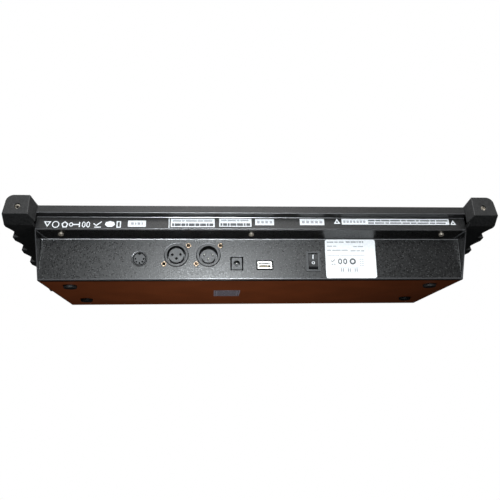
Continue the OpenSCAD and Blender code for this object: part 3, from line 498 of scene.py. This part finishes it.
def thicken(piece):
    """Gives flat shapes the thickness of a printed mark."""
    bpy.ops.mesh.select_all(action="SELECT")
    bpy.ops.mesh.normals_make_consistent(inside=False)
    bpy.ops.object.mode_set(mode="OBJECT")
    ink = piece.modifiers.new("ink", "SOLIDIFY")
    ink.thickness = INK
    ink.offset = 1.0
    bpy.ops.object.modifier_apply(modifier="ink")
    bpy.ops.object.mode_set(mode="EDIT")


# Sides, middle across and up, width, height and line of each small mark on the strip, as read
STRIP_MARKS = ((24, -200.0, 5.8, 7.2, 7.6, 0.9), (5, -191.0, 5.6, 7.0, 7.6, 1.1),
               (16, -184.8, 5.8, 4.2, 4.6, 0.9), (6, -172.4, 5.8, 4.0, 7.2, 0.8),
               (6, -168.0, 5.8, 4.0, 7.2, 0.8), (7, -146.6, 6.4, 10.4, 6.8, 0.0),
               (4, -137.8, 6.0, 4.4, 7.4, 1.1), (3, 84.4, 9.4, 8.0, 7.8, 1.2),
               (3, 207.0, 8.4, 7.2, 7.2, 1.1))
# Middle, width and height of the bars between them
STRIP_BARS = ((-179.6, 5.8, 6.6, 1.1), (-176.6, 5.8, 1.1, 5.8), (-158.6, 2.9, 6.6, 1.0))
STRIP_TICK = ((-157.6, 6.8, 7.2, 40), (-161.6, 6.0, 3.2, -44))
DIVIDER = (-87.6, 7.6, 0.9, 10.4)


def strip_symbols():
    """The small marks on the strip: plain shapes in outline, bars, a tick and a divider."""
    piece = begin("strip_symbols")
    outline(3, -208.1, 7.2, 8.4, 8.2, 1.0, turn=math.pi)
    for mark in STRIP_MARKS:
        outline(*mark)
    thicken(piece)
    for line in STRIP_BARS:
        bar(*line)
    strokes(STRIP_TICK, 1.1)
    bar(*DIVIDER)
    return place(piece, STRIP, "case", "label_paper", WHITE_INK)


# Left and right end, low and high edge of each legend on the strip, in the reader's frame
LEGENDS = ((-128.7, -110.8, 3.4, 10.4), (-86.0, -41.6, 3.2, 12.6), (-37.0, -4.1, 3.8, 13.0),
           (-0.3, 19.0, 5.6, 12.6), (45.7, 71.0, 5.8, 13.0))
NOTICE = (89.2, 202.8, 6.6, 13.2)


def strip_legends():
    """White fields on the strip, one for each socket's legend and one for a long notice."""
    piece = begin("strip_legends")
    for left, right, low, high in LEGENDS + (NOTICE,):
        outline(4, (left + right) / 2, (low + high) / 2, right - left, high - low)
    thicken(piece)
    return place(piece, STRIP, "case", "label_paper", WHITE_INK)


def words(left, right, y, height, lengths, gap=0.8, low=INK):
    """A row of bars that stand for words, spread from left to right in the given proportions."""
    unit = (right - left - gap * (len(lengths) - 1)) / sum(lengths)
    x = left
    for length in lengths:
        bar(x + length * unit / 2, y, length * unit, height, FINE_INK, low)
        x += length * unit + gap


def strip_words():
    """Rows of bars in place of the legends' words."""
    piece = begin("strip_words")
    words(-84.6, -43.0, 5.8, 3.0, (1, 3, 2, 1, 3, 2, 3, 1, 2), 0.7)
    words(-35.8, -5.4, 6.2, 3.0, (1, 2, 1, 3, 3, 1, 2), 0.7)
    words(117.0, 201.4, 11.2, 1.6, (4, 3, 5, 6, 3, 5, 2, 6, 3, 7), 0.8)
    words(117.0, 199.0, 8.4, 1.4, (3, 5, 2, 6, 4, 3, 6, 3, 5), 0.9)
    return place(piece, STRIP, "case", "label_paper", DARK_INK)


def strip_pale_words():
    """Paler rows of bars on the same fields."""
    piece = begin("strip_pale_words")
    words(-125.6, -113.8, 6.9, 2.6, (2, 1, 2, 1), 1.2)
    words(-84.0, -44.0, 10.2, 1.6, (3, 1, 4, 2, 3), 0.9)
    words(-35.0, -7.0, 10.8, 1.6, (2, 3, 1, 3), 0.9)
    words(1.6, 17.2, 9.0, 2.8, (1, 1, 1, 1), 1.6)
    words(47.8, 69.0, 9.2, 2.8, (1, 1, 1, 1, 1), 1.6)
    words(91.0, 114.0, 9.8, 2.8, (1, 1, 1, 1, 1, 1, 1), 1.2)
    return place(piece, STRIP, "case", "label_paper", GREY_INK)


# A label's thickness, and the rating label's upper corner at the reader's left, measured from the
# middle of the rear panel's lower edge; the label's print is placed from that corner
LABEL_T = 0.2
LABEL_CORNER = (74.3, 43.1)
RATING_LABEL = REAR @ shift(*LABEL_CORNER, LABEL_T)


def rating_print():
    """A row of plain symbols on the rating label: a tick, two outlines and a ring."""
    piece = begin("rating_print")
    outline(20, 28.6, -23.6, 6.8, 6.8, 1.7)
    outline(6, 15.2, -23.6, 4.8, 6.8, 1.2)
    outline(6, 20.6, -23.6, 4.8, 6.8, 1.2)
    thicken(piece)
    strokes(((8.6, -22.6, 3.6, 42), (6.6, -23.3, 1.8, -42)), 0.8)
    words(6.0, 10.4, -26.6, 0.7, (1, 1), 0.5, low=0.0)
    return place(piece, RATING_LABEL, "case", "label_paper", DARK_INK)


# Left and right end, level, height, words and gap of each faint line on the rating label
RATING_ROWS = ((2.0, 20.0, -2.8, 1.2, (4, 2, 3), 1.0), (22.4, 41.0, -2.6, 1.7, (3, 4, 1, 2, 1), 0.8),
               (2.0, 12.0, -7.2, 0.9, (3, 2), 1.0), (30.0, 40.5, -7.6, 0.9, (2, 3), 1.0),
               (2.0, 24.0, -11.6, 1.0, (2, 4, 3), 1.0), (27.0, 41.5, -12.2, 1.0, (3, 2, 2), 1.0),
               (2.0, 41.5, -17.0, 0.5, (1, 1, 1), 0.6))


def rating_lines():
    """The rating label's faint lines, a small column of marks and a framed row of marks."""
    piece = begin("rating_lines")
    for row in RATING_ROWS:
        words(*row, low=0.0)
    for row in range(4):
        words(35.8, 40.2, -21.2 - row * 2.2, 0.7, (1, 1), 0.5, low=0.0)
    for x in (15.6, 22.8, 30.0):
        words(x, x + 3.4, -32.8, 3.8, (1, 1), 0.8, low=0.0)
    for y in (-30.0, -35.8):
        words(13.4, 35.2, y, 0.35, (1,), 0.0, low=0.0)
    return place(piece, RATING_LABEL, "case", "label_paper", GREY_INK)


def base_label_print():
    """A frame and six rows of bars on the small label under the base."""
    piece = begin("base_label_print")
    outline(4, -27.4, -77.0, 26.6, 34.8, 0.5)
    thicken(piece)
    for row, lengths in enumerate(((3, 2, 4), (5, 2), (2, 3, 2), (4, 4), (3, 1, 3), (2, 5))):
        words(-38.4, -16.4, -64.4 - row * 5.0, 1.3, lengths, 1.0, low=0.0)
    return place(piece, UNDERSIDE @ shift(0, 0, LABEL_T), "case", "label_foil", DARK_INK)


# The rocker's two faces lean this much about its pins; at rest its upper half is pressed in.
SWITCH = (-60.9, -2.0, 19.4)
ROCKER_TILT = math.radians(10)
ROCKER_FACE = 3.2


def switch_marks():
    """A bar on the rocker's upper half and a ring on its lower half."""
    pivot = DESK @ shift(*SWITCH) @ Matrix.Rotation(ROCKER_TILT, 4, "X") @ shift(0, ROCKER_FACE, 0)
    piece = begin("switch_on_mark")
    bar(0, 4.3, 1.1, 4.6)
    place(piece, pivot @ Matrix.Rotation(-ROCKER_TILT, 4, "X") @ READ_FROM_BEHIND, "power_rocker",
          "switch_plastic", WHITE_INK)
    piece = begin("switch_off_mark")
    outline(20, 0, -2.5, 3.4, 3.6, 0.7)
    thicken(piece)
    place(piece, pivot @ Matrix.Rotation(ROCKER_TILT, 4, "X") @ READ_FROM_BEHIND, "power_rocker",
          "switch_plastic", WHITE_INK)


# Middle of the lamp socket's row of contacts, and the contacts' places along it
LAMP_SOCKET = (-10.4, -5.4, 15.75)
CONTACT_X = (-3.5, -1.0, 1.0, 3.5)


def lamp_socket_contacts():
    """Four sprung contacts under the lamp socket's tongue."""
    piece = begin("lamp_socket_contacts")
    for x in CONTACT_X:
        bpy.ops.mesh.primitive_cube_add(size=1, location=(x, 0, 0), scale=(1.0, 6.0, 0.3))
        bpy.ops.mesh.bevel(offset=0.1, segments=2, affect="EDGES")
    return place(piece, DESK @ shift(*LAMP_SOCKET), "case", "contact_metal", GOLD)


# Outer and inner end of the seam in a cheek's corner, on the overhang's underside
SEAM_ENDS = ((219.0, 19.6, -0.1), (213.2, 0.5, -0.1))
SEAM_R = 0.4


def seam_beads():
    """Lighter metallic beads where the case's cheeks meet the overhang: a painted highlight along the seams.
    """
    for side, name in ((1, "left_seam"), (-1, "right_seam")):
        piece = begin(name)
        start, end = (Vector((side * x, q, n)) for x, q, n in SEAM_ENDS)
        lean = math.atan2(end.y - start.y, end.x - start.x)
        bpy.ops.mesh.primitive_cylinder_add(vertices=8, radius=SEAM_R, depth=(end - start).length,
                                            location=(start + end) / 2,
                                            rotation=(0, math.pi / 2, lean))
        bpy.ops.mesh.bevel(offset=0.12, segments=2, affect="EDGES")
        place(piece, SLOPED, "case", "case_paint", SEAM_HIGHLIGHT)


# ---------- what is on the control panel ----------

# Places across the desk, and up the slope from the rear panel's top edge
CHANNEL_STEP = 24.0
CHANNEL_X = [(channel - 5) * CHANNEL_STEP for channel in range(8)]
TIMER_X = (84.0, 110.0)
WHEEL_X = (154.0, 188.0)
FUNCTION_X = (-188.0, -158.0)
DISPLAY_X = 128.0
FADER_REST = -127.985
SCENE_Q = -36.985
WHEEL_Q = -97.985
FUNCTION_STEP = 32.0

FADER_TRAVEL = 60.0
TICKS = 11
KNOB_TOP = 11.8
KNOB_DISH = 3.0


def repeat(piece, count, step):
    """Repeats an open piece in a row, and opens it again."""
    bpy.ops.object.mode_set(mode="OBJECT")
    row = piece.modifiers.new("row", "ARRAY")
    row.count = count
    row.use_relative_offset = False
    row.use_constant_offset = True
    row.constant_offset_displace = step
    bpy.ops.object.modifier_apply(modifier="row")
    bpy.ops.object.mode_set(mode="EDIT")


def fader_scales():
    """Eleven ticks on each side of every slot, the outer and middle ones longer."""
    tick_x = 7.9
    long_tick_x = 8.3
    for name, first_x, count, step in (("channel_scales", CHANNEL_X[0], len(CHANNEL_X), CHANNEL_STEP),
                                       ("timer_scales", TIMER_X[0], 2, TIMER_X[1] - TIMER_X[0])):
        piece = begin(name)
        bar(first_x - tick_x, FADER_REST, 2.0, 0.4)
        repeat(piece, TICKS, (0, FADER_TRAVEL / (TICKS - 1), 0))
        repeat(piece, 2, (2 * tick_x, 0, 0))
        for q in (0, FADER_TRAVEL / 2, FADER_TRAVEL):
            for side in (-1, 1):
                bar(first_x + side * long_tick_x, FADER_REST + q, 2.8, 0.7)
        repeat(piece, count, (step, 0, 0))
        place(piece, PANEL, "case", "panel_paint", WHITE_INK)


def channel_numbers():
    """The channels' numbers, in front of their faders."""
    number_q = FADER_REST - 20.0
    bpy.ops.object.mode_set(mode="OBJECT")
    for channel, x in enumerate(CHANNEL_X):
        bpy.ops.object.select_all(action="DESELECT")
        bpy.ops.object.text_add(location=(0, 0, 0))
        number = bpy.context.object
        number.name = f"channel_number_{channel + 1}"
        number.data.body = str(channel + 1)
        number.data.size = 6.0
        number.data.align_x = "CENTER"
        number.data.extrude = INK / 2
        bpy.ops.object.convert(target="MESH")
        number = bpy.context.object
        place(number, PANEL @ shift(x, number_q, INK / 2), "case", "panel_paint", WHITE_INK)


# Middle, width and length of the frames: channels, timers, wheels, functions and display
GROUP_FRAMES = ((-36.0, -87.0, 188.0, 134.0), (97.0, -98.0, 52.0, 92.0), (171.0, -98.0, 68.0, 60.0),
                (-173.0, -66.0, 66.0, 92.0), (DISPLAY_X, SCENE_Q, 80.0, 25.0))


def panel_frames():
    """Printed frames round the groups of controls, and a bar by each control in place of its name."""
    under_button = -8.0
    under_timer = FADER_REST - 9.0
    under_wheel = -121.0
    piece = begin("panel_frames")
    for x, q, width, length in GROUP_FRAMES:
        outline(4, x, q, width, length, 0.5)
    thicken(piece)
    for x in CHANNEL_X:
        bar(x, SCENE_Q + under_button, 9.0, 1.2)
    for x in FUNCTION_X:
        for row in range(3):
            bar(x, SCENE_Q - FUNCTION_STEP * row + under_button, 12.0, 1.2)
    for x in TIMER_X:
        bar(x, under_timer, 12.0, 1.3)
    for x in WHEEL_X:
        bar(x, under_wheel, 12.0, 1.3)
    return place(piece, PANEL, "case", "panel_paint", WHITE_INK)


def knob_lines():
    """A white line across the dish of each fader's knob, which travels with it."""
    line_size = (10.2, 1.1, 0.4)
    faders = [(f"channel_fader_{channel + 1}", x) for channel, x in enumerate(CHANNEL_X)]
    faders += list(zip(("speed_fader", "fade_fader"), TIMER_X))
    for body, x in faders:
        piece = begin(body + "_line")
        bpy.ops.mesh.primitive_cube_add(size=1, location=(0, 0, -0.1), scale=line_size)
        bpy.ops.mesh.bevel(offset=0.12, segments=2, affect="EDGES")
        place(piece, PANEL @ shift(x, FADER_REST, KNOB_TOP - KNOB_DISH), body, "white_plastic", WHITE_INK)


def select_faces(piece, test):
    """Selects the faces of an open piece that pass a test."""
    mesh = bmesh.from_edit_mesh(piece.data)
    for face in mesh.faces:
        face.select_set(test(face))
    mesh.select_flush_mode()
    bmesh.update_edit_mesh(piece.data)


WHEEL_R = 17.0
WHEEL_W = 9.0
WHEEL_LEVEL = 12.9
GROOVES = 48
GROOVE_DEPTH = 0.45
SHAFT_R = 2.0
SHAFT_L = 19.0


def knurled_wheel(name, x):
    """A pan or tilt wheel with grip grooves across its rim, on its shaft."""
    piece = begin(name + "_knurled")
    bpy.ops.mesh.primitive_cylinder_add(vertices=2 * GROOVES, radius=WHEEL_R, depth=WHEEL_W,
                                        end_fill_type="NGON", rotation=(0, math.pi / 2, 0))
    select_faces(piece, lambda face: abs(face.normal.x) > 0.9)
    bpy.ops.mesh.inset(thickness=2.4)
    bpy.ops.mesh.inset(thickness=0.6, depth=-0.7)
    bpy.ops.mesh.select_all(action="DESELECT")
    step = math.pi / GROOVES

    def in_groove(face):
        middle = face.calc_center_median()
        turn = math.atan2(middle.z, middle.y)
        on_rim = abs(face.normal.x) < 0.1 and middle.yz.length > WHEEL_R - 0.5
        return on_rim and math.floor(turn / step + 0.01) % 2 == 0

    select_faces(piece, in_groove)
    bpy.ops.mesh.inset(thickness=0.12, depth=-GROOVE_DEPTH, use_individual=True)
    bpy.ops.mesh.primitive_cylinder_add(vertices=32, radius=SHAFT_R, depth=SHAFT_L,
                                        rotation=(0, math.pi / 2, 0))
    place(piece, SLOPED @ shift(x, WHEEL_Q, WHEEL_LEVEL), name, "wheel_plastic", WHEEL_PLASTIC, replaces=name)


DIGIT_X = (-22.5, -7.5, 7.5, 22.5)
DIGIT_BEHIND = 2.08


def display_digits():
    """Four unlit digits behind the display window, each of seven bars."""
    piece = begin("display_digits")
    for digit in DIGIT_X:
        for y in (-5.0, 0.0, 5.0):
            bar(digit, y, 5.0, 0.9, FINE_INK)
        for x in (-3.1, 3.1):
            for y in (-2.5, 2.5):
                bar(digit + x, y, 0.9, 3.9, FINE_INK)
    place(piece, PANEL @ shift(DISPLAY_X, SCENE_Q, -DIGIT_BEHIND), "case", "lamp_red", DIGIT_RED)


strip_symbols()
strip_legends()
strip_words()
strip_pale_words()
rating_print()
rating_lines()
base_label_print()
switch_marks()
lamp_socket_contacts()
seam_beads()
fader_scales()
channel_numbers()
panel_frames()
knob_lines()
for wheel, wheel_x in zip(("pan_wheel", "tilt_wheel"), WHEEL_X):
    knurled_wheel(wheel, wheel_x)
display_digits()
